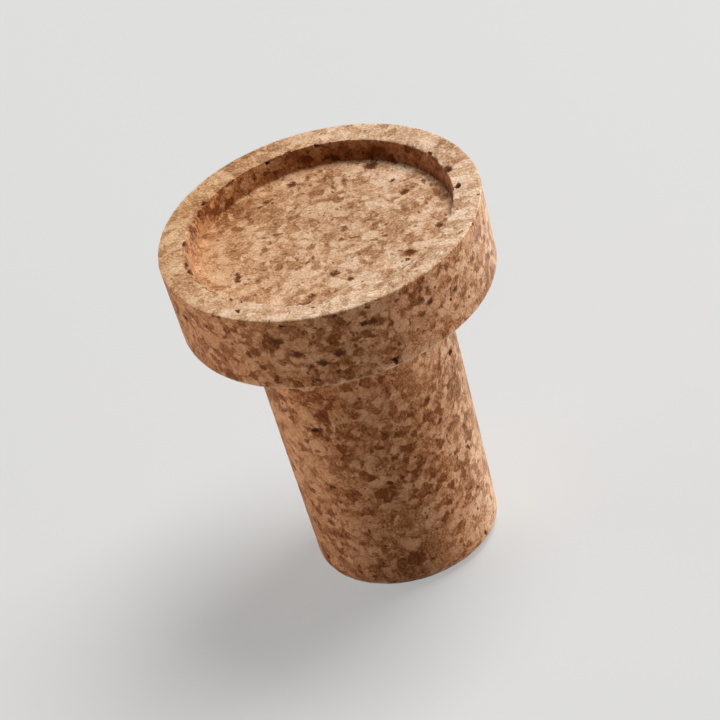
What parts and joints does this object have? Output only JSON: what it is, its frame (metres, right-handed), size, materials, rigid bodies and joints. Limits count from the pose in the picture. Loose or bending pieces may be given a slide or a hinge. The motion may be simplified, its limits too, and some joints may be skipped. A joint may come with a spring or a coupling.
{
  "type": "cork bottle stopper",
  "caption": "Bottle stopper in one piece of agglomerated cork: a flat round head with a shallow recess in its top, on a tapered plug that presses into a bottle's mouth.",
  "frame": {"origin": "centre of the flat end of the plug, on the surface that the stopper stands on", "axes": "+Z is the axis of the turned form, from the plug's free end up to the head's top; X and Y are any two directions across it"},
  "size_m": [0.031, 0.031, 0.0372],
  "materials": {
    "cork": "matt, ground agglomerated cork with open pores and dark specks"
  },
  "bodies": {
    "root": {"stopper": "cork"}
  },
  "joints": []
}
